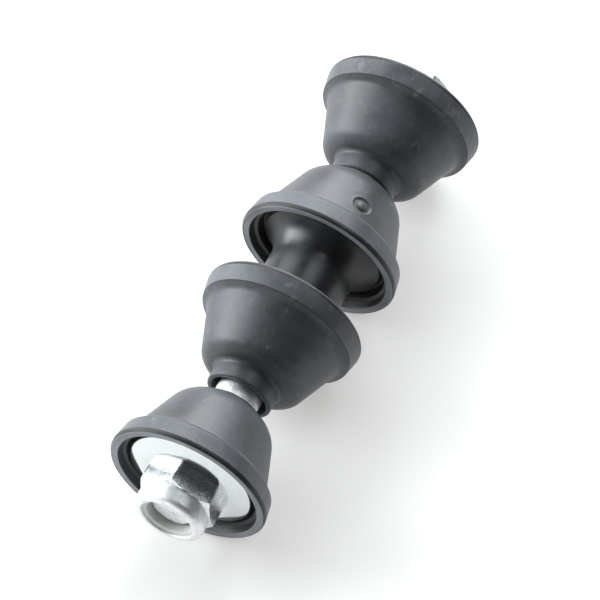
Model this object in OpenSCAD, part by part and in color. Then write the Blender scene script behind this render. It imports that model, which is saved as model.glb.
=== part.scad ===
// Bolt-type stabilizer link: one long bolt carries four rubber bushes, a flared spacer, two dished
// washers and a lock nut. The bolt lies along X with its head at +X. The origin is on the bolt's
// axis, in the middle of the neck that holds the stabilizer bar's eye.

/* [Bolt] */
// Diameter of the plain shank
bolt_d = 10; // [8:0.1:10.4]
// Width of the bolt head across its flats
head_af = 16; // [14:0.5:19]
// Height of the bolt head
head_h = 6.9; // [5:0.1:8]
// Length of the threaded end
thread_len = 26; // [16:0.5:40]
// Turn of the bolt head about the axis, in degrees
head_turn = 27.4; // [-60:0.1:60]

/* [Lock nut] */
// Width of the nut across its flats
nut_af = 16; // [15:0.5:19]
// Height of the nut with its collar
nut_h = 9.3; // [8:0.1:12]
// Length of the hexagon's corner edges
nut_corner_h = 3.9; // [2.5:0.1:4.4]
// Diameter of the round collar
collar_d = 15.8; // [15:0.1:16]
// Diameter of the opening in the rolled edge
crimp_d = 11.8; // [11:0.1:12.6]
// How far the bolt's end lies below the nut's outer face
end_depth = 2.5; // [1:0.1:4]
// Turn of the nut about the axis, in degrees
nut_turn = -5.1; // [-60:0.1:60]

/* [Nylon insert] */
// Outer diameter of the nylon ring
nylon_d = 13.8; // [13.2:0.1:14.2]
// Thickness of the nylon ring
nylon_t = 2.6; // [1.5:0.1:3]

/* [Washers] */
// Outer diameter of the dished washers
washer_d = 28.2; // [24:0.1:28.6]
// Thickness of the washer plate
washer_t = 2; // [1.5:0.1:2.5]
// Diameter of the flat centre
washer_flat_d = 21; // [20.4:0.1:23]
// How far the outer edge is turned toward the rubber
washer_dish = 1.5; // [0.5:0.1:1.6]

/* [Bush] */
// Outer diameter of the wide rim
rim_d = 36; // [35:0.1:40]
// Width of the rim's flat end face
rim_face_w = 1.9; // [1.2:0.1:2.4]
// Height of the lip behind the rim
lip_h = 4.6; // [3.5:0.1:5.4]
// How much narrower the lip is at its back edge, on the diameter
lip_taper = 1.4; // [0.4:0.1:2]
// Diameter of the cone where it leaves the lip
cone_d = 31.4; // [30.6:0.1:32]
// Slope of the cone's side against the axis, in degrees
cone_slope = 20.5; // [17:0.1:22]
// Diameter of the bore for the bolt
bush_bore_d = 10.8; // [10.6:0.1:11.4]
// Diameter of the recess at its flat bottom edge
recess_d = 29; // [28.8:0.1:29.6]
// Depth of the recess at its outer edge
recess_h = 4.2; // [4.1:0.1:4.8]

/* [Domed bush] */
// Height of a domed bush from rim to nose
nose_h = 20.4; // [19:0.1:22]
// Radius of the dome
dome_r = 7.5; // [6.6:0.1:8.4]
// Diameter of the raised flat ring on the nose
nose_ring_d = 13.9; // [13.4:0.1:14.6]
// Height of the raised ring above the dome's top
nose_ring_h = 0.3; // [0.2:0.05:0.8]
// Diameter of the round mould mark on the cone
mark_d = 3.8; // [2.4:0.1:5]
// Height of the mould mark above the rim
mark_h = 9.3; // [8:0.1:12]
// Turn of the mark on the lower outer bush, in degrees
lower_mark_turn = 195; // [0:1:360]
// Turn of the mark on the upper inner bush, in degrees
upper_mark_turn = 25; // [0:1:360]

/* [Necked bush] */
// Height of the shoulder that the neck stands on
shoulder_h = 17.8; // [16.5:0.1:19]
// Radius of the rounded shoulder edge
shoulder_r = 3.7; // [2:0.1:4]
// Outer diameter of the neck
neck_d = 14.8; // [14.2:0.1:15.6]
// Length of the neck above the shoulder
neck_len = 4.3; // [3.4:0.1:6]
// Diameter of the neck's mouth
mouth_d = 12.8; // [12:0.1:13.2]
// Depth of the wide mouth
mouth_depth = 6; // [3:0.1:9]

/* [Spacer] */
// Distance between the rims that face the spacer
spacer_gap = 15; // [12:0.1:30]
// Diameter of the spacer's waist
waist_d = 18.4; // [17:0.1:20]
// Diameter of the flared flanges
flange_d = 27.2; // [26:0.1:27.8]
// Thickness of the flange's outer edge
flange_edge_t = 0.9; // [0.7:0.1:1.2]
// Length of each flare from the flange's edge to the waist
flare_len = 6.5; // [5:0.1:7]

/* [Stack] */
// Free gap between the lower pair of bushes
free_gap = 3.2; // [1:0.1:6]

/* [Hidden] */
$fn = 96;
ARC_STEPS = 8;
DOME_STEPS = 12;

// Running clearance of the thread in the nut, and loose clearance of the washers
THREAD_FIT = 0.05;
WASHER_PLAY = 0.3;
THREAD_RELIEF = 0.08;
thread_d = bolt_d - THREAD_RELIEF;
nut_bore_d = bolt_d + 2 * THREAD_FIT;
washer_hole_d = bolt_d + 2 * WASHER_PLAY;
END_CHAMFER = 0.75;
HEAD_FACE_H = 0.4;
HEAD_FACE_INSET = 1.4;
HEAD_BASE_CHAMFER = 0.2;
HEAD_CHAMFER = 1.5;
CHAMFER_ANGLE = 30;

// How far a cutting shape runs past what it cuts
HAIR = 0.01;
OVERCUT = 1;

// Nut: the hexagon ends in a cone that runs into the collar
NUT_CONE_H = 1.6;
NUT_BASE_CHAMFER = 0.3;
NUT_BASE_CHAMFER_H = 0.2;
COLLAR_ROOT = 1;
NUT_COUNTERSINK = 0.5;
COLLAR_ROUND = 1.3;
CRIMP_T = 0.7;
nylon_base = nut_h - CRIMP_T - nylon_t;
NYLON_ROUND = 0.4;
CORNER_RATIO = 2 / sqrt(3);

// Washer: radii of its bend and of its edges
WASHER_BEND_ROUND = 3;
WASHER_EDGE_ROUND = 0.5;
WASHER_BACK_ROUND = 0.2;
WASHER_HOLE_ROUND = 0.2;
WASHER_HOLE_BACK_ROUND = 0.1;

// Bush: edge radii, the recess's steps and the floor's flat centre
RIM_ROUND = 0.8;
RIM_LAND = 1;
RIM_INNER_ROUND = 0.3;
LIP_ROUND = 0.3;
HEEL_ROUND = 2.2;
HEEL_RISE = 0.8;
RECESS_STEP_W = 0.45;
RECESS_STEP_H = 1.6;
RECESS_STEP_RISE = 0.25;
RECESS_ROUND = 0.35;
FLOOR_FLAT_R = 9.9;
floor_h = washer_t;
NECK_ROUND = 1;
MOUTH_ROUND = 0.5;
MOUTH_INNER_ROUND = 0.2;
NOSE_ROUND = 0.15;
BORE_CONE_H = 1;
MARK_SINK = 0.25;
MARK_PIP_RATIO = 0.68;
MARK_PIP_RISE = 0.35;
MARK_PIP_ROOT = 0.6;
MARK_CUT_H = 2;
CONE_START = 1;

rim_r = rim_d / 2;
cone_r = cone_d / 2;
heel_h = lip_h + HEEL_RISE;
neck_h = shoulder_h + neck_len;
neck_mid_h = (shoulder_h + NECK_ROUND + neck_h - MOUTH_ROUND) / 2;

// Stack, as distances along the bolt from the lower outer rim toward the head
lower_inner_rim = nose_h + free_gap + neck_h;
upper_inner_rim = lower_inner_rim + spacer_gap;
upper_outer_rim = upper_inner_rim + nose_h + neck_h;
bolt_end = end_depth - nut_h;
bolt_len = upper_outer_rim - bolt_end;
origin = upper_outer_rim - neck_mid_h;

// Spacer: its end faces stand on the recess floors, and the flange edges follow the floors down
spacer_len = spacer_gap + 2 * floor_h;
FLANGE_DISH = 1.4;
FLANGE_FLAT_R = 10.4;
FLANGE_ROUND = 0.25;

RUBBER = "#3b3d40";
ZINC = "#c8cdd1";
NYLON = "#e8e9e2";
BLACK_PLASTIC = "#1c1d1f";

// Points along an arc about a centre, from one angle to another
function arc(centre, r, from, to, steps) =
    let (n = round(steps), turn = (to - from) / n)
    [for (i = [0:n]) centre + r * [cos(from + turn * i), sin(from + turn * i)]];

function unit(v) = v / norm(v);
function flat(p) = [p[0], p[1]];
function half_angle(before, here, after) = acos(unit(before - here) * unit(after - here)) / 2;

// How much of its two edges a rounded corner takes up
function reach(pts, i) =
    let (
        n = len(pts),
        here = flat(pts[i]),
        before = flat(pts[(i + n - 1) % n]),
        after = flat(pts[(i + 1) % n])
    )
    pts[i][2] == 0 ? 0 : pts[i][2] / tan(half_angle(before, here, after));

// The share of its radius a corner keeps, so that neighbours never run into each other
function edge_share(pts, i) =
    let (j = (i + 1) % len(pts), want = reach(pts, i) + reach(pts, j))
    min(1, 0.98 * norm(flat(pts[j]) - flat(pts[i])) / max(want, 0.001));

// One corner of an outline: [radius from the axis, height, rounding]
function corner(pts, i) =
    let (
        n = len(pts),
        here = flat(pts[i]),
        before = flat(pts[(i + n - 1) % n]),
        after = flat(pts[(i + 1) % n]),
        keep = min(edge_share(pts, i), edge_share(pts, (i + n - 1) % n)),
        half = half_angle(before, here, after),
        r = keep * pts[i][2],
        centre = here + unit(unit(before - here) + unit(after - here)) * r / sin(half),
        start = here + unit(before - here) * r / tan(half) - centre,
        end = here + unit(after - here) * r / tan(half) - centre,
        a = atan2(start[1], start[0]),
        turn = atan2(start[0] * end[1] - start[1] * end[0], start * end)
    )
    pts[i][2] == 0 ? [here] : arc(centre, r, a, a + turn, ARC_STEPS);

// An outline with each corner rounded by its own radius
function rounded(pts) = [for (i = [0:len(pts) - 1]) each corner(pts, i)];

function cone_r_at(h) = cone_r - (h - heel_h) * tan(cone_slope);

// The rim, the lip and the stepped recess, from the bore round to the foot of the cone
function rim_outline() = [
    [bush_bore_d / 2, floor_h, 0],
    [FLOOR_FLAT_R, floor_h, 0],
    [recess_d / 2, recess_h, RECESS_ROUND],
    [recess_d / 2 + RECESS_STEP_W, RECESS_STEP_H + RECESS_STEP_RISE, 0],
    [rim_r - rim_face_w - RECESS_STEP_W, RECESS_STEP_H, 0],
    [rim_r - rim_face_w, 0, RIM_INNER_ROUND],
    [rim_r, 0, RIM_ROUND],
    [rim_r, RIM_LAND, 0],
    [rim_r - lip_taper / 2, lip_h, LIP_ROUND],
    [cone_r, heel_h, HEEL_ROUND]
];

// The dome: an arc that touches the cone's side and stops at the raised ring
dome_top = nose_h - nose_ring_h;
dome_centre_h = dome_top - dome_r;
dome_centre = [cone_r_at(dome_centre_h) - dome_r / cos(cone_slope), dome_centre_h];
dome_end = acos(min(0.99, max(-0.99, (nose_ring_d / 2 - dome_centre[0]) / dome_r)));

function domed_outline() = concat(
    rounded(concat(rim_outline(), [[cone_r_at(heel_h + CONE_START), heel_h + CONE_START, 0]])),
    arc(dome_centre, dome_r, cone_slope, dome_end, DOME_STEPS),
    [
        [nose_ring_d / 2, nose_h - NOSE_ROUND],
        [nose_ring_d / 2 - NOSE_ROUND, nose_h],
        [bush_bore_d / 2, nose_h]
    ]
);

function necked_outline() = rounded(concat(rim_outline(), [
    [cone_r_at(shoulder_h), shoulder_h, shoulder_r],
    [neck_d / 2, shoulder_h, NECK_ROUND],
    [neck_d / 2, neck_h, MOUTH_ROUND],
    [mouth_d / 2, neck_h, MOUTH_INNER_ROUND],
    [mouth_d / 2, neck_h - mouth_depth, 0],
    [bush_bore_d / 2, neck_h - mouth_depth - BORE_CONE_H, 0]
]));

// Half of the spacer's outline, from its end face to the waist
flange_r = flange_d / 2;
waist_r = waist_d / 2;
flange_edge_h = flange_edge_t - FLANGE_DISH;
flare_r = (flare_len * flare_len + pow(flange_r - waist_r, 2)) / (2 * (flange_r - waist_r));
flare_centre = [waist_r + flare_r, flange_edge_h + flare_len];
flare_start = 180 + asin(min(1, flare_len / flare_r));

function spacer_half() = rounded(concat(
    [
        [bush_bore_d / 2, spacer_len / 2, 0],
        [bush_bore_d / 2, 0, 0],
        [FLANGE_FLAT_R, 0, 0],
        [flange_r, -FLANGE_DISH, FLANGE_ROUND]
    ],
    [for (p = arc(flare_centre, flare_r, flare_start, 180, DOME_STEPS)) [p[0], p[1], 0]],
    [[waist_r, spacer_len / 2, 0]]
));

// Places a turned shape on the bolt with its own height axis toward the head, or toward the nut
module toward_head(x) {
    translate([x - origin, 0, 0]) rotate([0, 90, 0]) children();
}

module toward_nut(x) {
    translate([x - origin, 0, 0]) rotate([0, -90, 0]) children();
}

module turned(points) {
    rotate_extrude() polygon(points);
}

// A hexagon bar with its corners turned off by a cone at one end or both
module hexagon(af, h, base_chamfer, top_chamfer) {
    corner_r = af / 2 * CORNER_RATIO;
    slope = tan(CHAMFER_ANGLE);
    intersection() {
        cylinder(r = corner_r, h = h, $fn = 6);
        turned([
            [0, 0],
            [corner_r - base_chamfer, 0],
            [corner_r + HAIR, (base_chamfer + HAIR) * slope],
            [corner_r + HAIR, h - (top_chamfer + HAIR) * slope],
            [corner_r - top_chamfer, h],
            [0, h]
        ]);
    }
}

module dished_washer() {
    outer = washer_d / 2;
    bend = washer_flat_d / 2;
    turned(rounded([
        [washer_hole_d / 2, 0, WASHER_HOLE_ROUND],
        [bend, 0, WASHER_BEND_ROUND],
        [outer, washer_dish, WASHER_EDGE_ROUND],
        [outer, washer_dish + washer_t, WASHER_BACK_ROUND],
        [bend, washer_t, WASHER_BEND_ROUND],
        [washer_hole_d / 2, washer_t, WASHER_HOLE_BACK_ROUND]
    ]));
}

// The mould mark: a round sink in the cone's side with a small domed pip in it
module at_mark(turn) {
    place = [-cone_r_at(mark_h), 0, mark_h];
    rotate([0, 0, turn]) translate(place) rotate([0, cone_slope - 90, 0]) children();
}

module domed_bush(mark_turn) {
    pip_r = mark_d / 2 * MARK_PIP_RATIO;
    difference() {
        turned(domed_outline());
        at_mark(mark_turn) translate([0, 0, -MARK_SINK]) cylinder(d = mark_d, h = MARK_CUT_H);
    }
    at_mark(mark_turn) intersection() {
        translate([0, 0, MARK_PIP_RISE - pip_r]) sphere(r = pip_r);
        translate([0, 0, -MARK_PIP_ROOT]) cylinder(r = pip_r, h = MARK_CUT_H);
    }
}

module necked_bush() {
    turned(necked_outline());
}

module bolt_head() {
    hexagon(head_af, head_h - HEAD_FACE_H, HEAD_BASE_CHAMFER, HEAD_CHAMFER);
}

module through_bolt() {
    shank_r = bolt_d / 2;
    thread_r = thread_d / 2;
    color(ZINC) rotate([head_turn, 0, 0]) {
        toward_head(bolt_end) turned([
            [0, 0],
            [thread_r - END_CHAMFER, 0],
            [thread_r, END_CHAMFER],
            [thread_r, thread_len],
            [shank_r, thread_len + shank_r - thread_r],
            [shank_r, bolt_len],
            [head_af / 2 - HEAD_FACE_INSET / 2, bolt_len],
            [head_af / 2 - HEAD_FACE_INSET / 2, bolt_len + HEAD_FACE_H],
            [0, bolt_len + HEAD_FACE_H]
        ]);
        toward_head(upper_outer_rim + HEAD_FACE_H) bolt_head();
    }
}

module head_washer() {
    color(ZINC) toward_nut(upper_outer_rim) dished_washer();
}

module upper_outer_bush() {
    color(RUBBER) toward_nut(upper_outer_rim) necked_bush();
}

module upper_inner_bush() {
    color(RUBBER) toward_head(upper_inner_rim) domed_bush(upper_mark_turn);
}

module spacer_spool() {
    color(BLACK_PLASTIC) {
        toward_head(lower_inner_rim - floor_h) turned(spacer_half());
        toward_nut(upper_inner_rim + floor_h) turned(spacer_half());
    }
}

module lower_inner_bush() {
    color(RUBBER) toward_nut(lower_inner_rim) necked_bush();
}

module lower_outer_bush() {
    color(RUBBER) toward_head(0) domed_bush(lower_mark_turn);
}

module nut_washer() {
    color(ZINC) toward_head(0) dished_washer();
}

module lock_nut() {
    corner_r = nut_af / 2 * CORNER_RATIO;
    collar_r = collar_d / 2;
    cone_top = nut_corner_h + NUT_CONE_H;
    color(ZINC) rotate([nut_turn, 0, 0]) toward_nut(0) difference() {
        union() {
            intersection() {
                cylinder(r = corner_r, h = cone_top, $fn = 6);
                turned([
                    [0, 0],
                    [corner_r - NUT_BASE_CHAMFER, 0],
                    [corner_r + HAIR, NUT_BASE_CHAMFER_H],
                    [corner_r + HAIR, nut_corner_h],
                    [collar_r, cone_top],
                    [0, cone_top]
                ]);
            }
            turned(rounded([
                [0, nut_corner_h - COLLAR_ROOT, 0],
                [collar_r, nut_corner_h - COLLAR_ROOT, 0],
                [collar_r, nut_h, COLLAR_ROUND],
                [0, nut_h, 0]
            ]));
        }
        turned([
            [0, -OVERCUT],
            [nut_bore_d / 2 + NUT_COUNTERSINK + OVERCUT, -OVERCUT],
            [nut_bore_d / 2, NUT_COUNTERSINK],
            [nut_bore_d / 2, nylon_base],
            [nylon_d / 2, nylon_base],
            [nylon_d / 2, nylon_base + nylon_t],
            [crimp_d / 2, nylon_base + nylon_t],
            [crimp_d / 2, nut_h + OVERCUT],
            [0, nut_h + OVERCUT]
        ]);
    }
}

module nylon_insert() {
    color(NYLON) toward_nut(-nylon_base) turned(rounded([
        [nut_bore_d / 2, 0, 0],
        [nylon_d / 2, 0, 0],
        [nylon_d / 2, nylon_t, 0],
        [nut_bore_d / 2, nylon_t, NYLON_ROUND]
    ]));
}

through_bolt();
head_washer();
upper_outer_bush();
upper_inner_bush();
spacer_spool();
lower_inner_bush();
lower_outer_bush();
nut_washer();
lock_nut();
nylon_insert();
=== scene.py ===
"""Looks of a bolt-type stabilizer link: rubber bushes, zinc-plated bolt, nut and washers, black spacer.

Every outline is a list of [radius, height, rounding] corners in millimetres, turned about the bolt's axis.
A piece's height runs from its rim, base or end, and its turn runs from +Z toward -Y.
"""

import math

import bpy
import numpy as np
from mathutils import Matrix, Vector


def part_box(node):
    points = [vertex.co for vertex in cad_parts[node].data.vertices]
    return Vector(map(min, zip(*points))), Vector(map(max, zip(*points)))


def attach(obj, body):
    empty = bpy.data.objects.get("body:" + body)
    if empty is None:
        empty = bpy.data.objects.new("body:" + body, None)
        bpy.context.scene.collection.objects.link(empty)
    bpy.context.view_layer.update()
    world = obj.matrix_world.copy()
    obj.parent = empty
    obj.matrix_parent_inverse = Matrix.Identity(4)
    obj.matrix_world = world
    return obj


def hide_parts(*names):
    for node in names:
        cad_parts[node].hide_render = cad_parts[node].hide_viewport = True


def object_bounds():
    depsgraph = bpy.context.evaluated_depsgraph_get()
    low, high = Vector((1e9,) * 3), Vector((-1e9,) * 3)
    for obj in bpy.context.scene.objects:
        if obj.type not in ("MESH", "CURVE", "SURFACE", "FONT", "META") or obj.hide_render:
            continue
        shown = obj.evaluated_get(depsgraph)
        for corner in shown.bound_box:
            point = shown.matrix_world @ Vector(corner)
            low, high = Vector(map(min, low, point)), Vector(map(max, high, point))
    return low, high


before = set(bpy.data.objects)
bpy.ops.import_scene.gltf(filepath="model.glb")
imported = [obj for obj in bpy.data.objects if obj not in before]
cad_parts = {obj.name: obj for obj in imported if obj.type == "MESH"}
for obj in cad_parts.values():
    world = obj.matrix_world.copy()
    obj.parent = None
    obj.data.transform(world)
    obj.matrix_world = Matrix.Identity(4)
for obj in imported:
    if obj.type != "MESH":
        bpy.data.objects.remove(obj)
cad_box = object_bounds()
MM = 0.001

# The two ends of a node along the bolt, as indexes of its box: toward the nut and toward the head
LOW, HIGH = 0, 1


def end_of(node, side):
    """One end of a CAD node along the bolt."""
    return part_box(node)[side][0] / MM


def length_of(node):
    return end_of(node, HIGH) - end_of(node, LOW)


def outer_r(node):
    """The largest radius of a CAD node about the bolt's axis."""
    low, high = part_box(node)
    return max(high[1] - low[1], high[2] - low[2]) / 2 / MM


# Bush sizes
RIM_R = outer_r("lower_outer_bush")
RIM_FACE_W = 1.9
RIM_INNER_R = RIM_R - RIM_FACE_W
RIM_INNER_ROUND = 0.22
RIM_EDGE_H = 0.45
RIM_EDGE_DRAFT = 0.02
RIM_EDGE_ROUND = 0.25
RIM_LAND = 1.0
LAND_ROUND = 0.1
LIP_H = 4.6
LIP_TAPER = 0.7
LIP_ROUND = 0.3
CONE_R = 15.7
CONE_SLOPE = math.radians(20.5)
CONE_START = 1
HEEL_H = LIP_H + 0.8
HEEL_ROUND = 2.2
BORE_R = 5.4
BORE_ROUND = 0.3
FLOOR_H = 2.0
FLOOR_FLAT_R = 9.9
FLOOR_ROUND = 1.5
RECESS_R = 14.5
RECESS_H = 4.2
RECESS_ROUND = 0.5
STEP_W = 0.45
STEP_H = 1.6
STEP_RISE = 0.25
STEP_ROUND = 0.15
NOSE_H = length_of("lower_outer_bush")
DOME_R = 7.5
NOSE_RING_R = 6.95
NOSE_RING_H = 0.3
NOSE_CHAMFER = 0.12
SHOULDER_H = 17.8
SHOULDER_ROUND = 3.7
NECK_R = 7.4
NECK_H = length_of("lower_inner_bush")
NECK_FOOT_ROUND = 1.0
NECK_END_ROUND = 0.5
MOUTH_R = 6.4
MOUTH_DEPTH = 6.0
MOUTH_EDGE_ROUND = 0.2
BORE_CONE_H = 1

# The mould's flash on the rim's end face, by its distance in from the rim's edge
FLASH_INNER = 0.55
FLASH_TOP = 0.45
FLASH_OUTER = 0.3
FLASH_OUTER_H = 0.02
FLASH_RISE = 0.13
FLASH_ROUND = 0.05
FLASH_FOOT_ROUND = 0.1

# The mould mark, with its places across in shares of its radius
MARK_R = 1.9
MARK_H = 9.3
MARK_SINK = 0.28
MARK_EDGE = 1.15
MARK_EDGE_W = 0.2
MARK_BURR = 0.07
MARK_BURR_AT = 1.25
MARK_BURR_W = 0.12
PIP_RISE = 0.5
PIP_SHARE = 0.68
PIP_FULLNESS = 0.75
LOWER_MARK_TURN = 195
UPPER_MARK_TURN = 25

# How far under the cone's side a point may lie to take part in the mark, and to be split into close ones
MARK_SKIN = 1.5
MARK_SPLIT_SKIN = 0.5

# How far the moulded rubber is out of round
WOBBLE = 0.05
WOBBLE_START_R = 9.5
WOBBLE_REACH = 8.0
WAVES_ROUND = (2, 3, 5, 8, 13)

# Spacer sizes
SPACER_LEN = end_of("upper_inner_bush", LOW) - end_of("lower_inner_bush", HIGH) + 2 * FLOOR_H
FLANGE_R = outer_r("spacer_spool")
FLANGE_FLAT_R = 10.4
FLANGE_FLAT_ROUND = 1.0
FLANGE_DISH = 1.4
FLANGE_EDGE_T = 0.9
FLANGE_ROUND = 0.25
FLARE_LEN = 6.5
FLARE_LEAD = (1.0, 0.35)
WAIST_R = 9.2
SPACER_BORE_ROUND = 0.2

# Bolt sizes
BOLT_R = 5.0
END_CHAMFER = 0.75
END_R = BOLT_R - END_CHAMFER
END_FACE_R = 4.2
END_EDGE_H = 0.02
THREAD_PITCH = 1.5
THREAD_DEPTH = 0.82
THREAD_LEN = 26.0
THREAD_START_H = 0.05
THREAD_RELIEF = 0.04
THREAD_CREST = 0.18
THREAD_FLANK = 0.70
THREAD_FADE_TURNS = 2.0
ROWS_PER_PITCH = 12
SHANK_STEP = 4.0
SHANK_MARGIN = 0.2
HEX_AF = 16.0
HEX_CORNER_R = HEX_AF / math.sqrt(3)
FLAT_TO_CORNER_TURN = 30
HEX_CORNER_CUT = 0.16
HEX_CUT_FROM_R = HEX_AF / 2 - 0.6
HEX_EDGE_SHARPNESS = 80.0
HEX_BAR_OVERSIZE = 0.1
HEAD_H = 6.9
HEAD_TURN = 57.4
HEAD_FACE_R = HEX_AF / 2 - 0.7
HEAD_FACE_H = 0.4
HEAD_BASE_CHAMFER = 0.2
HEAD_CHAMFER = 1.5
HEAD_CHAMFER_H = 0.92
HEAD_ROUND = 0.25

# Nut sizes
NUT_H = length_of("lock_nut")
NUT_TURN = 24.9
NUT_CORNER_H = 4.2
NUT_CONE_END_H = 5.15
NUT_BASE_CHAMFER = 0.1
NUT_BASE_CHAMFER_H = 0.12
NUT_BORE_R = 5.05
NUT_COUNTERSINK = 0.6
NUT_COUNTERSINK_H = 0.5
COLLAR_R = 7.9
COLLAR_SPREAD = 0.04
COLLAR_ROOT_ROUND = 0.6
COLLAR_ROUND = 1.5
CRIMP_R = 5.9
CRIMP_T = 0.7
CRIMP_SINK = 0.12
CRIMP_ROUND = 0.35
NYLON_R = 6.9
NYLON_T = 2.6
NYLON_LIP = 0.3
NYLON_LIP_ROUND = 0.2
NYLON_LEAD_H = 0.25
NYLON_LEAD_ROUND = 0.3
NYLON_BASE = NUT_H - CRIMP_T - NYLON_T

# Washer sizes
WASHER_R = outer_r("nut_washer")
WASHER_HOLE_R = BOLT_R + 0.3
WASHER_T = 2.0
WASHER_DISH = 1.5
WASHER_FLAT_R = 10.5
WASHER_BEND_ROUND = 5.0
WASHER_BACK_BEND_ROUND = 3.0
WASHER_EDGE_ROUND = 0.7
WASHER_BACK_ROUND = 0.3
WASHER_HOLE_ROUND = 0.25

# A rounding that only breaks an edge
BROKEN_EDGE = 0.1

# A gap that only keeps two points apart
HAIR = 0.01

# Longest edges along the outlines
BUSH_STEP = 0.8
MARK_STEP = 0.09
MARK_REACH = 2.4
WASHER_STEP = 0.6
NUT_STEP = 0.16
NYLON_STEP = 0.5
BOLT_STEP = 0.4

# Edges in an arc, and the largest share of an edge that its two roundings may take
ROUND_STEPS = 7
NECKED_ROUND_STEPS = 9
WASHER_ROUND_STEPS = 12
NUT_ROUND_STEPS = 8
DOME_STEPS = 22
FLARE_STEPS = 26
ROUND_SHARE = 0.98

# Facets round the axis
NECKED_FACETS = 240
DOMED_FACETS = 200
SPACER_FACETS = 220
WASHER_FACETS = 200
NUT_FACETS = 240
NYLON_FACETS = 120
BOLT_FACETS = 180

# Close facets at the mark and at the nut's corners: reach in radians, count, and how far off the others stay
MARK_CROWD = (0.2, 61, 0.22)
CORNER_CROWD = (0.045, 13, 0.055)

# An edge that bends by more than this is left sharp
SHARP_BEND = math.radians(32)
NUT_SHARP_BEND = math.radians(24)


# Outlines

def arc(centre, r, start, end, steps):
    """Points along an arc, angles in radians."""
    turns = np.linspace(start, end, steps + 1)
    return [np.array([centre[0] + r * math.cos(t), centre[1] + r * math.sin(t)]) for t in turns]


def rounded(corners, steps=ROUND_STEPS):
    """An outline with each corner rounded by its own radius, or by less where its edges are too short."""
    flat = [np.array(c[:2], float) for c in corners]
    count = len(flat)

    def unit(v):
        return v / np.linalg.norm(v)

    def half(i):
        before, here, after = flat[i - 1], flat[i], flat[(i + 1) % count]
        return math.acos(np.clip(unit(before - here) @ unit(after - here), -1, 1)) / 2

    reach = [corners[i][2] / math.tan(half(i)) if corners[i][2] else 0.0 for i in range(count)]
    share = [min(1, ROUND_SHARE * np.linalg.norm(flat[(i + 1) % count] - flat[i])
                 / max(reach[i] + reach[(i + 1) % count], 1e-3)) for i in range(count)]
    out = []
    for i, here in enumerate(flat):
        if not corners[i][2]:
            out.append(here)
            continue
        to_before, to_after = unit(flat[i - 1] - here), unit(flat[(i + 1) % count] - here)
        r = corners[i][2] * min(share[i], share[i - 1])
        centre = here + unit(to_before + to_after) * r / math.sin(half(i))
        start = here + to_before * r / math.tan(half(i)) - centre
        end = here + to_after * r / math.tan(half(i)) - centre
        angle = math.atan2(start[1], start[0])
        turn = math.atan2(start[0] * end[1] - start[1] * end[0], start @ end)
        out += arc(centre, r, angle, angle + turn, steps)
    return out


def finer(points, step, closed=True, near=None):
    """The same outline with no edge longer than step, or only the edges that near(point) picks."""
    points = [np.array(p, float) for p in points]
    out = []
    for i in range(len(points) if closed else len(points) - 1):
        a, b = points[i], points[(i + 1) % len(points)]
        split = near is None or near(a)
        pieces = max(1, math.ceil(np.linalg.norm(b - a) / step)) if split else 1
        out += [a + (b - a) * k / pieces for k in range(pieces)]
    return out if closed else out + [points[-1]]


def cone_r_at(h):
    return CONE_R - (h - HEEL_H) * math.tan(CONE_SLOPE)


def rim_outline():
    """The recess, rim and lip, from the bore round to the foot of the cone, with the mould's flash."""
    return [
        [BORE_R, FLOOR_H, 0],
        [FLOOR_FLAT_R, FLOOR_H, FLOOR_ROUND],
        [RECESS_R, RECESS_H, RECESS_ROUND],
        [RECESS_R + STEP_W, STEP_H + STEP_RISE, STEP_ROUND],
        [RIM_INNER_R - STEP_W, STEP_H, STEP_ROUND],
        [RIM_INNER_R, 0, RIM_INNER_ROUND],
        [RIM_R - FLASH_INNER, 0, FLASH_FOOT_ROUND],
        [RIM_R - FLASH_TOP, -FLASH_RISE, FLASH_ROUND],
        [RIM_R - FLASH_OUTER, FLASH_OUTER_H, FLASH_FOOT_ROUND],
        [RIM_R - RIM_EDGE_DRAFT, RIM_EDGE_H, RIM_EDGE_ROUND],
        [RIM_R, RIM_LAND, LAND_ROUND],
        [RIM_R - LIP_TAPER, LIP_H, LIP_ROUND],
        [CONE_R, HEEL_H, HEEL_ROUND],
    ]


def domed_outline():
    """A bush whose cone runs tangent into a dome, with a small ring on its nose."""
    centre_h = NOSE_H - NOSE_RING_H - DOME_R
    centre = (cone_r_at(centre_h) - DOME_R / math.cos(CONE_SLOPE), centre_h)
    stop = math.acos((NOSE_RING_R - centre[0]) / DOME_R)
    cone_start = HEEL_H + CONE_START
    foot = rounded(rim_outline() + [[cone_r_at(cone_start), cone_start, 0]])
    ring = [
        [NOSE_RING_R, NOSE_H - NOSE_CHAMFER],
        [NOSE_RING_R - NOSE_CHAMFER, NOSE_H],
        [BORE_R + BORE_ROUND, NOSE_H],
        [BORE_R, NOSE_H - BORE_ROUND],
    ]
    return foot + arc(centre, DOME_R, CONE_SLOPE, stop, DOME_STEPS) + [np.array(p) for p in ring]


def necked_outline():
    """A bush whose cone ends in a rounded shoulder and a neck with a wide mouth."""
    mouth_floor = NECK_H - MOUTH_DEPTH
    return rounded(rim_outline() + [
        [cone_r_at(SHOULDER_H), SHOULDER_H, SHOULDER_ROUND],
        [NECK_R, SHOULDER_H, NECK_FOOT_ROUND],
        [NECK_R, NECK_H, NECK_END_ROUND],
        [MOUTH_R, NECK_H, MOUTH_EDGE_ROUND],
        [MOUTH_R, mouth_floor, BORE_ROUND],
        [BORE_R, mouth_floor - BORE_CONE_H, BORE_ROUND],
    ], NECKED_ROUND_STEPS)


def marked_outline():
    """The domed outline with close points where the mark is."""
    def at_mark(point):
        return abs(point[1] - MARK_H) < MARK_REACH and point[0] > cone_r_at(point[1]) - MARK_SPLIT_SKIN
    return finer(finer(domed_outline(), BUSH_STEP), MARK_STEP, near=at_mark)


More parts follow.
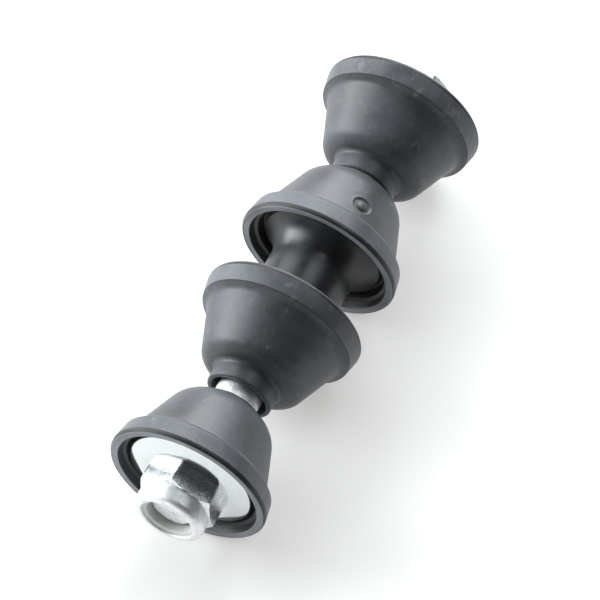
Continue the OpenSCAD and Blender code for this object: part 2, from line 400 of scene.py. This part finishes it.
def spacer_outline():
    """Two dished flanges that flare into the waist, the second a mirror of the first."""
    edge = FLANGE_EDGE_T - FLANGE_DISH
    flare_w = FLANGE_R - WAIST_R
    flare_r = (FLARE_LEN ** 2 + flare_w ** 2) / (2 * flare_w)
    centre = (WAIST_R + flare_r, edge + FLARE_LEN)
    start = math.pi + math.asin(min(1, FLARE_LEN / flare_r))
    flange = rounded([
        [BORE_R, FLOOR_H, 0],
        [BORE_R, 0, SPACER_BORE_ROUND],
        [FLANGE_FLAT_R, 0, FLANGE_FLAT_ROUND],
        [FLANGE_R, -FLANGE_DISH, FLANGE_ROUND],
        [FLANGE_R, edge, FLANGE_ROUND],
        [FLANGE_R - FLARE_LEAD[0], edge + FLARE_LEAD[1], 0],
    ])[:-1]
    # The flare takes over from the flange's last rounding where that climbs past the edge
    inner_r = (FLANGE_FLAT_R + FLANGE_R) / 2
    flange = [p for p in flange if p[1] < edge + HAIR or p[0] < inner_r]
    half = flange + arc(centre, flare_r, start, math.pi, FLARE_STEPS)[1:]
    other = [np.array([p[0], SPACER_LEN - p[1]]) for p in reversed(half)]
    return finer(half + other, BUSH_STEP)


# Meshes

def even_turns(count):
    return np.arange(count) * 2 * math.pi / count


def crowded_turns(count, centres, reach, fine_count, clear):
    """Turns that are even all round, and close together within reach of some centres."""
    centres = np.asarray(centres)
    rest = even_turns(count)
    away = np.abs(np.mod(rest[:, None] - centres + math.pi, 2 * math.pi) - math.pi).min(axis=1)
    fine = (centres[:, None] + np.linspace(-reach, reach, fine_count)).ravel()
    return np.sort(np.mod(np.concatenate([fine, rest[away > clear]]), 2 * math.pi))


def mesh_object(name, verts, faces, sharp=SHARP_BEND):
    """A smooth mesh whose edges are left sharp where they bend by more than an angle."""
    mesh = bpy.data.meshes.new(name)
    mesh.from_pydata([tuple(v) for v in verts], [], faces)
    mesh.validate()
    mesh.polygons.foreach_set("use_smooth", [True] * len(mesh.polygons))
    mesh.set_sharp_from_angle(angle=sharp)
    obj = bpy.data.objects.new(name, mesh)
    bpy.context.collection.objects.link(obj)
    return obj


def on_axis(r, along, turn):
    """A point in the frame from its radius, its place along the bolt and its turn."""
    return np.stack([along, -r * np.sin(turn), r * np.cos(turn)], axis=-1) * MM


def turned(name, outline, start, toward_head, turns, shape=None, sharp=SHARP_BEND, zone=None):
    """A closed outline swept about the bolt's axis.

    shape(r, h, turn) may change the outline as it goes round.
    zone(r, h) picks a material for each band.
    """
    points = np.array(outline)
    r, turn = np.meshgrid(points[:, 0], turns, indexing="ij")
    h = np.repeat(points[:, 1:2], len(turns), axis=1)
    if shape:
        r, h = shape(r, h, turn)
    along = start + h if toward_head else start - h
    verts = on_axis(r, along, turn).reshape(-1, 3)
    rows, cols = len(points), len(turns)
    faces = []
    for i in range(rows):
        for j in range(cols):
            a, b = i * cols + j, i * cols + (j + 1) % cols
            c, d = ((i + 1) % rows) * cols + (j + 1) % cols, ((i + 1) % rows) * cols + j
            faces.append((a, b, c, d) if toward_head else (a, d, c, b))
    obj = mesh_object(name, verts, faces, sharp)
    if zone:
        middles = (points + np.roll(points, -1, axis=0)) / 2
        bands = [zone(*middle) for middle in middles]
        obj.data.polygons.foreach_set("material_index", np.repeat(bands, cols))
    return obj


def hex_radius(turn, corner_turn):
    """Radius of a hexagon bar with slightly cut corners, at a turn about its axis."""
    sector = math.pi / 3
    off = np.mod(turn - corner_turn, sector) - sector / 2
    return np.minimum(HEX_AF / 2 / np.cos(off), HEX_CORNER_R - HEX_CORNER_CUT)


def soft_min(a, b, sharpness=HEX_EDGE_SHARPNESS):
    """The smaller of two radii, with the edge between them slightly rounded."""
    low = np.minimum(a, b)
    return low - np.log1p(np.exp(-sharpness * np.abs(a - b))) / sharpness


def hexagonal(corner_turn):
    """A shape rule that cuts an outline to a hexagon bar where it stands wider than one."""
    def rule(r, h, turn):
        cut = soft_min(r, hex_radius(turn, corner_turn))
        return np.where(r > HEX_CUT_FROM_R, cut, r), h
    return rule


def wobble(seed):
    """A shape rule for moulded rubber: slightly out of round, more at the rim than at the bore."""
    rng = np.random.default_rng(seed)
    waves = [(k, rng.uniform(0, 2 * math.pi), WOBBLE / k) for k in WAVES_ROUND]

    def rule(r, h, turn):
        free = np.clip((r - WOBBLE_START_R) / WOBBLE_REACH, 0, 1)
        sway = sum(a * np.cos(k * turn + p) for k, p, a in waves)
        return r + sway * free, h
    return rule


def marked(rule, mark_turn):
    """Adds the mould mark to a shape rule: a shallow round sink in the cone's side, with a domed pip."""
    def with_mark(r, h, turn):
        r, h = rule(r, h, turn)
        across = (np.mod(turn - mark_turn + math.pi, 2 * math.pi) - math.pi) * r
        up = (h - MARK_H) / math.cos(CONE_SLOPE)
        d = np.hypot(across, up) / MARK_R
        outside = r > cone_r_at(h) - MARK_SKIN
        sink = -MARK_SINK * np.clip((MARK_EDGE - d) / MARK_EDGE_W, 0, 1)
        burr = MARK_BURR * np.exp(-((d - MARK_BURR_AT) / MARK_BURR_W) ** 2)
        pip = (MARK_SINK + PIP_RISE) * np.sqrt(np.clip(1 - (d / PIP_SHARE) ** 2, 0, 1))
        rise = np.where(outside, sink + burr + pip * PIP_FULLNESS, 0.0)
        return r + rise * math.cos(CONE_SLOPE), h + rise * math.sin(CONE_SLOPE)
    return with_mark


def thread_depth(h, turn):
    """How deep the thread is cut at a place: flat crests, sloped flanks, fading out at the shank."""
    phase = np.abs(np.mod(h / THREAD_PITCH + turn / (2 * math.pi), 1.0) - 0.5) * 2
    groove = np.clip((phase - THREAD_CREST) / THREAD_FLANK, 0, 1)
    fade = np.clip((THREAD_LEN - h) / (THREAD_FADE_TURNS * THREAD_PITCH), 0, 1)
    return THREAD_DEPTH * groove * fade


# Materials

class Finish:
    """A new node material, with the few kinds of node that the finishes here are made of."""

    def __init__(self, name):
        self.material = bpy.data.materials.new(name)
        self.material.use_nodes = True
        self.nodes = self.material.node_tree.nodes
        self.links = self.material.node_tree.links
        self.surface = self.nodes["Principled BSDF"].inputs
        self.coords = self.nodes.new("ShaderNodeTexCoord").outputs["Object"]

    def noise(self, scale, detail, rough):
        """Cloudy noise, with its scale in features per metre."""
        node = self.nodes.new("ShaderNodeTexNoise")
        node.inputs["Scale"].default_value = scale
        node.inputs["Detail"].default_value = detail
        node.inputs["Roughness"].default_value = rough
        self.links.new(self.coords, node.inputs["Vector"])
        return node.outputs["Fac"]

    def cells(self, scale):
        """Cells of a random grey each, as in zinc spangle."""
        node = self.nodes.new("ShaderNodeTexVoronoi")
        node.inputs["Scale"].default_value = scale
        self.links.new(self.coords, node.inputs["Vector"])
        grey = self.nodes.new("ShaderNodeRGBToBW")
        self.links.new(node.outputs["Color"], grey.inputs["Color"])
        return grey.outputs["Val"]

    def ramp(self, value, *stops):
        """A colour ramp from two (position, colour) stops; a plain number is a grey."""
        node = self.nodes.new("ShaderNodeValToRGB")
        for element, (place, colour) in zip(node.color_ramp.elements, stops):
            element.position = place
            element.color = (colour, colour, colour, 1) if isinstance(colour, float) else (*colour, 1)
        self.links.new(value, node.inputs["Fac"])
        return node.outputs["Color"]

    def mix(self, share, a, b, mode="MIX"):
        """Two colours mixed; each of the three may be a number, a colour or another node's output."""
        node = self.nodes.new("ShaderNodeMix")
        node.data_type = "RGBA"
        node.blend_type = mode
        for value, socket in ((share, node.inputs[0]), (a, node.inputs[6]), (b, node.inputs[7])):
            if isinstance(value, bpy.types.NodeSocket):
                self.links.new(value, socket)
            elif isinstance(value, float):
                socket.default_value = value
            else:
                socket.default_value = (*value, 1)
        return node.outputs[2]

    def bump(self, height, strength, distance, normal=None):
        node = self.nodes.new("ShaderNodeBump")
        node.inputs["Strength"].default_value = strength
        node.inputs["Distance"].default_value = distance
        self.links.new(height, node.inputs["Height"])
        if normal:
            self.links.new(normal, node.inputs["Normal"])
        return node.outputs["Normal"]

    def dress(self, colour, roughness, normal):
        self.links.new(colour, self.surface["Base Color"])
        self.links.new(roughness, self.surface["Roughness"])
        self.links.new(normal, self.surface["Normal"])


RUBBER_TINT = (0.92, 1.0, 1.10)
RUBBER_PATCHES = (0.62, 1.36)
DUST_COLOUR = (0.15, 0.154, 0.158)
SCUFF_COLOUR = (0.24, 0.245, 0.25)


def rubber_material(name, shade, dusty):
    """Moulded rubber: dark bluish grey in patches, with specks of dust, pale scuffs and a fine grain."""
    finish = Finish(name)
    patches = finish.noise(scale=85, detail=5, rough=0.62)
    grain = finish.noise(scale=2600, detail=3, rough=0.6)
    specks = finish.noise(scale=900, detail=2, rough=0.5)
    scuffs = finish.noise(scale=210, detail=6, rough=0.7)
    low, high = (tuple(shade * k * c for c in RUBBER_TINT) for k in RUBBER_PATCHES)
    base = finish.ramp(patches, (0.32, low), (0.68, high))
    dust = finish.ramp(specks, (0.56, 0.0), (0.78, dusty))
    scuffed = finish.ramp(scuffs, (0.60, 0.0), (0.70, dusty * 1.4))
    colour = finish.mix(scuffed, finish.mix(dust, base, DUST_COLOUR), SCUFF_COLOUR)
    fine = finish.bump(grain, 0.35, 0.00006)
    roughness = finish.ramp(patches, (0.25, 0.36), (0.75, 0.54))
    finish.dress(colour, roughness, finish.bump(patches, 0.25, 0.0003, fine))
    finish.surface["Specular IOR Level"].default_value = 0.4
    finish.surface["Sheen Weight"].default_value = 0.04
    finish.surface["Sheen Roughness"].default_value = 0.45
    return finish.material


def zinc_material(name, tint, glossy, dull, spangle, cloudy, grainy):
    """Bright zinc plate: bluish white metal with a spangle, glossy and dull clouds and a grainy surface."""
    finish = Finish(name)
    clouds = finish.noise(scale=420, detail=5, rough=0.6)
    fine = finish.noise(scale=3200, detail=2, rough=0.5)
    dark = tuple(c * (1 - cloudy) for c in tint)
    base = finish.ramp(clouds, (0.3, dark), (0.62, tint))
    colour = finish.mix(spangle, base, finish.cells(1500), "SOFT_LIGHT")
    roughness = finish.ramp(clouds, (0.3, dull), (0.7, glossy))
    finish.dress(colour, roughness, finish.bump(fine, grainy, 0.00008))
    finish.surface["Metallic"].default_value = 1.0
    return finish.material


def plastic_material():
    """Black moulded plastic: satin, clouded, with a faint grain."""
    finish = Finish("black_plastic")
    clouds = finish.noise(scale=260, detail=4, rough=0.55)
    grain = finish.noise(scale=2200, detail=2, rough=0.5)
    colour = finish.ramp(clouds, (0.3, (0.016, 0.016, 0.017)), (0.7, (0.030, 0.031, 0.033)))
    roughness = finish.ramp(clouds, (0.3, 0.28), (0.7, 0.42))
    finish.dress(colour, roughness, finish.bump(grain, 0.2, 0.00004))
    return finish.material


def nylon_material():
    """Natural nylon: milky white, slightly translucent."""
    finish = Finish("white_nylon")
    clouds = finish.noise(scale=500, detail=3, rough=0.5)
    colour = finish.ramp(clouds, (0.3, (0.58, 0.60, 0.57)), (0.7, (0.70, 0.715, 0.68)))
    roughness = finish.ramp(clouds, (0.3, 0.35), (0.7, 0.5))
    finish.dress(colour, roughness, finish.bump(clouds, 0.15, 0.0001))
    finish.surface["Subsurface Weight"].default_value = 0.25
    finish.surface["Subsurface Radius"].default_value = (0.001, 0.001, 0.0009)
    return finish.material


# Pieces

def stand_for(obj, node, body, slot, *materials):
    """The piece stands for its CAD node and rides on that node's body."""
    for material in materials:
        obj.data.materials.append(material)
    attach(obj, body)
    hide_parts(node)


# The order of a bush's materials, and the bands that they take
# The second material is near-black: clean rubber at the rim's corner, and painted shade in the recess and in
# the crease under the lip. The third is lightened as painted fill light.
BODY, CLEAN_AND_SHADE, DUST_AND_FILL_LIGHT, WORN = 0, 1, 2, 3
# Painted shade: the recess is coloured near-black where shade falls in it
SHADED_RECESS_H = RECESS_H + 0.3
SHADED_RECESS_R = RIM_INNER_R + 0.03
# Painted fill light: the rim's end face is coloured lighter, standing in for light from the nut's side, with
# dust specks
LIT_FACE_H = 0.05
LIT_FACE_R = RIM_R - 0.28
CLEAN_EDGE_H = 0.9
CLEAN_EDGE_R = RIM_R - 0.3
# Painted shadow: a near-black band where the lip's edge shades the foot of the cone
CREASE_SHADE_LOW_H = LIP_H - 0.04
CREASE_SHADE_HIGH_H = LIP_H + 0.2
CREASE_SHADE_R = CONE_R - 0.1
WORN_LIP_R = CONE_R + 0.8


def rubber_zone(r, h):
    """The recess and the crease under the lip take painted shade, the rim's corner is clean, the rim's face
    is dusty and lightened as painted fill light, and the lip is worn.
    """
    # Painted shade in the recess
    if h < SHADED_RECESS_H and r < SHADED_RECESS_R:
        return CLEAN_AND_SHADE
    # Painted fill light on the rim's end face, with dust specks
    if h < LIT_FACE_H and r < LIT_FACE_R:
        return DUST_AND_FILL_LIGHT
    if h < CLEAN_EDGE_H and r > CLEAN_EDGE_R:
        return CLEAN_AND_SHADE
    # Painted shadow under the lip's edge
    if CREASE_SHADE_LOW_H < h < CREASE_SHADE_HIGH_H and r > CREASE_SHADE_R:
        return CLEAN_AND_SHADE
    return WORN if h < LIP_H and r > WORN_LIP_R else BODY


NECKED_BUSHES = [("lower_inner_bush", "lower_inner"), ("upper_outer_bush", "bolt")]
DOMED_BUSHES = [
    ("lower_outer_bush", "lower_outer", LOWER_MARK_TURN),
    ("upper_inner_bush", "upper_inner", UPPER_MARK_TURN),
]
DOMED_SEED = 5


def make_bushes(*materials):
    outline = finer(necked_outline(), BUSH_STEP)
    turns = even_turns(NECKED_FACETS)
    for seed, (node, body) in enumerate(NECKED_BUSHES):
        obj = turned(node + "_moulding", outline, end_of(node, HIGH), False, turns,
                     wobble(seed), zone=rubber_zone)
        stand_for(obj, node, body, "rubber", *materials)
    outline = marked_outline()
    for seed, (node, body, mark_degrees) in enumerate(DOMED_BUSHES, DOMED_SEED):
        mark = math.radians(mark_degrees)
        turns = crowded_turns(DOMED_FACETS, [mark], *MARK_CROWD)
        obj = turned(node + "_moulding", outline, end_of(node, LOW), True, turns,
                     marked(wobble(seed), mark), zone=rubber_zone)
        stand_for(obj, node, body, "rubber", *materials)


def make_spacer(material):
    start = end_of("lower_inner_bush", HIGH) - FLOOR_H
    obj = turned("spacer_moulding", spacer_outline(), start, True, even_turns(SPACER_FACETS))
    stand_for(obj, "spacer_spool", "spacer", "black_plastic", material)


def make_washers(material):
    outline = finer(rounded([
        [WASHER_HOLE_R, 0, WASHER_HOLE_ROUND],
        [WASHER_FLAT_R, 0, WASHER_BEND_ROUND],
        [WASHER_R, WASHER_DISH, WASHER_EDGE_ROUND],
        [WASHER_R, WASHER_DISH + WASHER_T, WASHER_BACK_ROUND],
        [WASHER_FLAT_R, WASHER_T, WASHER_BACK_BEND_ROUND],
        [WASHER_HOLE_R, WASHER_T, BROKEN_EDGE],
    ], WASHER_ROUND_STEPS), WASHER_STEP)
    for node, body, side in (("nut_washer", "nut_seat", LOW), ("head_washer", "bolt", HIGH)):
        obj = turned(node + "_plate", outline, end_of(node, side), side == LOW, even_turns(WASHER_FACETS))
        stand_for(obj, node, body, "zinc_washer", material)


def make_nut(metal, rolled_metal):
    outline = finer(rounded([
        [NUT_BORE_R, NUT_COUNTERSINK_H, 0],
        [NUT_BORE_R + NUT_COUNTERSINK, 0, BROKEN_EDGE],
        [HEX_CORNER_R - NUT_BASE_CHAMFER, 0, BROKEN_EDGE / 2],
        [HEX_CORNER_R + HEX_BAR_OVERSIZE, NUT_BASE_CHAMFER_H, 0],
        [HEX_CORNER_R + HEX_BAR_OVERSIZE, NUT_CORNER_H, 0],
        [COLLAR_R, NUT_CONE_END_H, COLLAR_ROOT_ROUND],
        [COLLAR_R + COLLAR_SPREAD, NUT_H, COLLAR_ROUND],
        [CRIMP_R, NUT_H - CRIMP_SINK, CRIMP_ROUND],
        [CRIMP_R, NYLON_BASE + NYLON_T, 0],
        [NYLON_R, NYLON_BASE + NYLON_T, 0],
        [NYLON_R, NYLON_BASE, 0],
        [NUT_BORE_R, NYLON_BASE, 0],
    ], NUT_ROUND_STEPS), NUT_STEP)
    corner = math.radians(NUT_TURN + FLAT_TO_CORNER_TURN)
    corners = corner + np.arange(6) * math.pi / 3
    turns = crowded_turns(NUT_FACETS, corners, *CORNER_CROWD)

    def rolled_zone(r, h):
        return 1 if h > NUT_CONE_END_H else 0

    obj = turned("lock_nut_body", outline, end_of("lock_nut", HIGH), False, turns, hexagonal(corner),
                 NUT_SHARP_BEND, rolled_zone)
    stand_for(obj, "lock_nut", "nut", "zinc_nut", metal, rolled_metal)


def make_nylon(material):
    outline = finer(rounded([
        [NUT_BORE_R, 0, 0],
        [NYLON_R, 0, 0],
        [NYLON_R, NYLON_T, 0],
        [CRIMP_R - NYLON_LIP, NYLON_T, NYLON_LIP_ROUND],
        [NUT_BORE_R, NYLON_T - NYLON_LEAD_H, NYLON_LEAD_ROUND],
    ]), NYLON_STEP)
    start = end_of("lock_nut", HIGH) - NYLON_BASE
    obj = turned("nylon_ring", outline, start, False, even_turns(NYLON_FACETS))
    stand_for(obj, "nylon_insert", "nut", "nylon", material)


def make_bolt(shank_metal, head_metal):
    start = end_of("through_bolt", LOW)
    length = length_of("through_bolt") - HEAD_H
    top = length + HEAD_H
    end = [[HAIR, 0], [END_FACE_R, 0], [END_R, END_EDGE_H]]
    thread = [[BOLT_R - THREAD_RELIEF, h]
              for h in np.arange(END_CHAMFER, THREAD_LEN, THREAD_PITCH / ROWS_PER_PITCH)]
    shank = [[BOLT_R, h] for h in np.arange(THREAD_LEN + SHANK_MARGIN, length - SHANK_MARGIN, SHANK_STEP)]
    shank.append([BOLT_R, length - 2 * HAIR])
    head = rounded([
        [BOLT_R, length - HAIR, 0],
        [HEAD_FACE_R, length, BROKEN_EDGE],
        [HEAD_FACE_R, length + HEAD_FACE_H, 0],
        [HEX_CORNER_R - HEAD_BASE_CHAMFER, length + HEAD_FACE_H, BROKEN_EDGE],
        [HEX_CORNER_R + HEX_BAR_OVERSIZE, length + HEAD_FACE_H + HEAD_BASE_CHAMFER, 0],
        [HEX_CORNER_R + HEX_BAR_OVERSIZE, top - HEAD_CHAMFER_H, 0],
        [HEX_CORNER_R - HEAD_CHAMFER, top, HEAD_ROUND],
        [HAIR, top, 0],
    ])[1:]
    outline = finer([np.array(p) for p in end + thread + shank] + head, BOLT_STEP, closed=False)
    cut_hex = hexagonal(math.radians(HEAD_TURN + FLAT_TO_CORNER_TURN))

    def rule(r, h, turn):
        on_thread = (h > THREAD_START_H) & (h < THREAD_LEN)
        cut = np.minimum(r - thread_depth(h, turn), END_R + h)
        return cut_hex(np.where(on_thread, cut, r), h, turn)

    def head_zone(r, h):
        return 1 if h > length else 0

    obj = turned("through_bolt_steel", outline, start, True, even_turns(BOLT_FACETS), rule, zone=head_zone)
    stand_for(obj, "through_bolt", "bolt", "zinc_bolt", shank_metal, head_metal)


# Camera, stage and light

CAMERA_AZIMUTH = math.radians(-63.6)
CAMERA_ELEVATION = math.radians(59.1)
CAMERA_DISTANCE = 1.1
FOCAL_PIXELS = 5211
IMAGE_PIXELS = 600
SENSOR_MM = 36
LINK_MIDDLE_PIXEL = (297.8, 293.5)

FLOOR_HALF = 6.0
FLOOR_GAP = 0.0001
FLOOR_GLOW = 0.42
FLOOR_GLOW_COLOUR = (1, 0.985, 0.965, 1)
WORLD_COLOUR = (0.95, 0.97, 1.0, 1)
WORLD_STRENGTH = 0.05
LIGHT_DISTANCE = 0.9
LIGHT_COLOUR = (0.95, 0.98, 1.0)

# Soft boxes: name, direction from the link, size in metres, watts
LIGHTS = [
    ("key", (0.90, 0.15, 0.36), (0.6, 0.6), 11.5),
    ("key_left", (0.55, 0.62, 0.55), (0.6, 0.6), 5),
    ("left", (-0.2, 0.85, 0.5), (0.5, 0.5), 7),
    ("side", (-0.05, 0.98, 0.12), (0.6, 0.3), 6),
    ("top", (0.45, -0.29, 0.84), (0.45, 0.45), 2.0),
    ("nut_end", (-0.95, 0.2, 0.2), (0.6, 0.3), 1.2),
]


def link_middle():
    """The point half way between the two outer rims, on the bolt's axis."""
    return Vector(((end_of("lower_outer_bush", LOW) + end_of("upper_outer_bush", HIGH)) / 2 * MM, 0, 0))


def add(name, data):
    obj = bpy.data.objects.new(name, data)
    bpy.context.collection.objects.link(obj)
    return obj


def aim(obj, target):
    obj.rotation_euler = (Vector(target) - obj.location).to_track_quat("-Z", "Y").to_euler()


def make_camera(middle):
    """Looks down along the link from the nut's end, as in the photograph."""
    level = math.cos(CAMERA_ELEVATION)
    back = Vector((math.sin(CAMERA_AZIMUTH) * level, -math.cos(CAMERA_AZIMUTH) * level,
                   math.sin(CAMERA_ELEVATION)))
    right = Vector((0, 0, 1)).cross(back).normalized()
    up = back.cross(right)
    per_pixel = CAMERA_DISTANCE / FOCAL_PIXELS
    centre = IMAGE_PIXELS / 2
    target = middle + right * (centre - LINK_MIDDLE_PIXEL[0]) * per_pixel
    target -= up * (centre - LINK_MIDDLE_PIXEL[1]) * per_pixel
    data = bpy.data.cameras.new("camera")
    data.sensor_width = SENSOR_MM
    data.lens = FOCAL_PIXELS * SENSOR_MM / IMAGE_PIXELS
    data.clip_end = 50
    camera = add("camera", data)
    camera.location = target + back * CAMERA_DISTANCE
    aim(camera, target)
    bpy.context.scene.camera = camera


def make_floor():
    z = cad_box[0][2] - FLOOR_GAP
    corners = [(-1, -1), (1, -1), (1, 1), (-1, 1)]
    floor = mesh_object("floor", [(x * FLOOR_HALF, y * FLOOR_HALF, z) for x, y in corners], [(0, 1, 2, 3)])
    finish = Finish("pale_floor")
    colour = finish.ramp(finish.noise(scale=3, detail=2, rough=0.5), (0.3, 0.58), (0.7, 0.62))
    finish.links.new(colour, finish.surface["Base Color"])
    finish.surface["Roughness"].default_value = 0.9
    finish.surface["Emission Color"].default_value = FLOOR_GLOW_COLOUR
    finish.surface["Emission Strength"].default_value = FLOOR_GLOW
    floor.data.materials.append(finish.material)


def make_lights(middle):
    for name, way, size, watts in LIGHTS:
        data = bpy.data.lights.new(name, "AREA")
        data.shape = "RECTANGLE"
        data.size, data.size_y = size
        data.energy = watts
        data.color = LIGHT_COLOUR
        light = add(name, data)
        light.location = middle + Vector(way).normalized() * LIGHT_DISTANCE
        aim(light, middle)
    world = bpy.data.worlds.new("studio")
    world.use_nodes = True
    background = world.node_tree.nodes["Background"]
    background.inputs["Color"].default_value = WORLD_COLOUR
    background.inputs["Strength"].default_value = WORLD_STRENGTH
    bpy.context.scene.world = world
    bpy.context.scene.view_settings.view_transform = "Standard"


make_bushes(
    rubber_material("moulded_rubber", shade=0.068, dusty=0.22),
    # Near-black rubber: painted shade in the recess and the crease under the lip, clean rubber at the rim's
    # corner
    rubber_material("clean_and_shaded_rubber", shade=0.016, dusty=0.1),
    # Lighter rubber for the rim's end face: painted fill light from the nut's side, with dust specks
    rubber_material("dusty_lit_rubber", shade=0.21, dusty=0.6),
    rubber_material("worn_rubber", shade=0.094, dusty=0.3),
)
make_spacer(plastic_material())
make_washers(zinc_material("zinc_washer", (0.70, 0.73, 0.735), glossy=0.10, dull=0.16,
                           spangle=0.08, cloudy=0.05, grainy=0.03))
make_nut(
    zinc_material("zinc_nut", (0.78, 0.81, 0.815), glossy=0.21, dull=0.36,
                  spangle=0.6, cloudy=0.28, grainy=1.0),
    zinc_material("rolled_zinc", (0.86, 0.88, 0.88), glossy=0.44, dull=0.58,
                  spangle=0.4, cloudy=0.14, grainy=0.6),
)
make_nylon(nylon_material())
make_bolt(
    zinc_material("zinc_bolt", (0.93, 0.95, 0.96), glossy=0.46, dull=0.66,
                  spangle=0.7, cloudy=0.25, grainy=1.0),
    zinc_material("head_zinc", (0.55, 0.575, 0.58), glossy=0.40, dull=0.54,
                  spangle=0.5, cloudy=0.2, grainy=0.8),
)
make_camera(link_middle())
make_floor()
make_lights(link_middle())
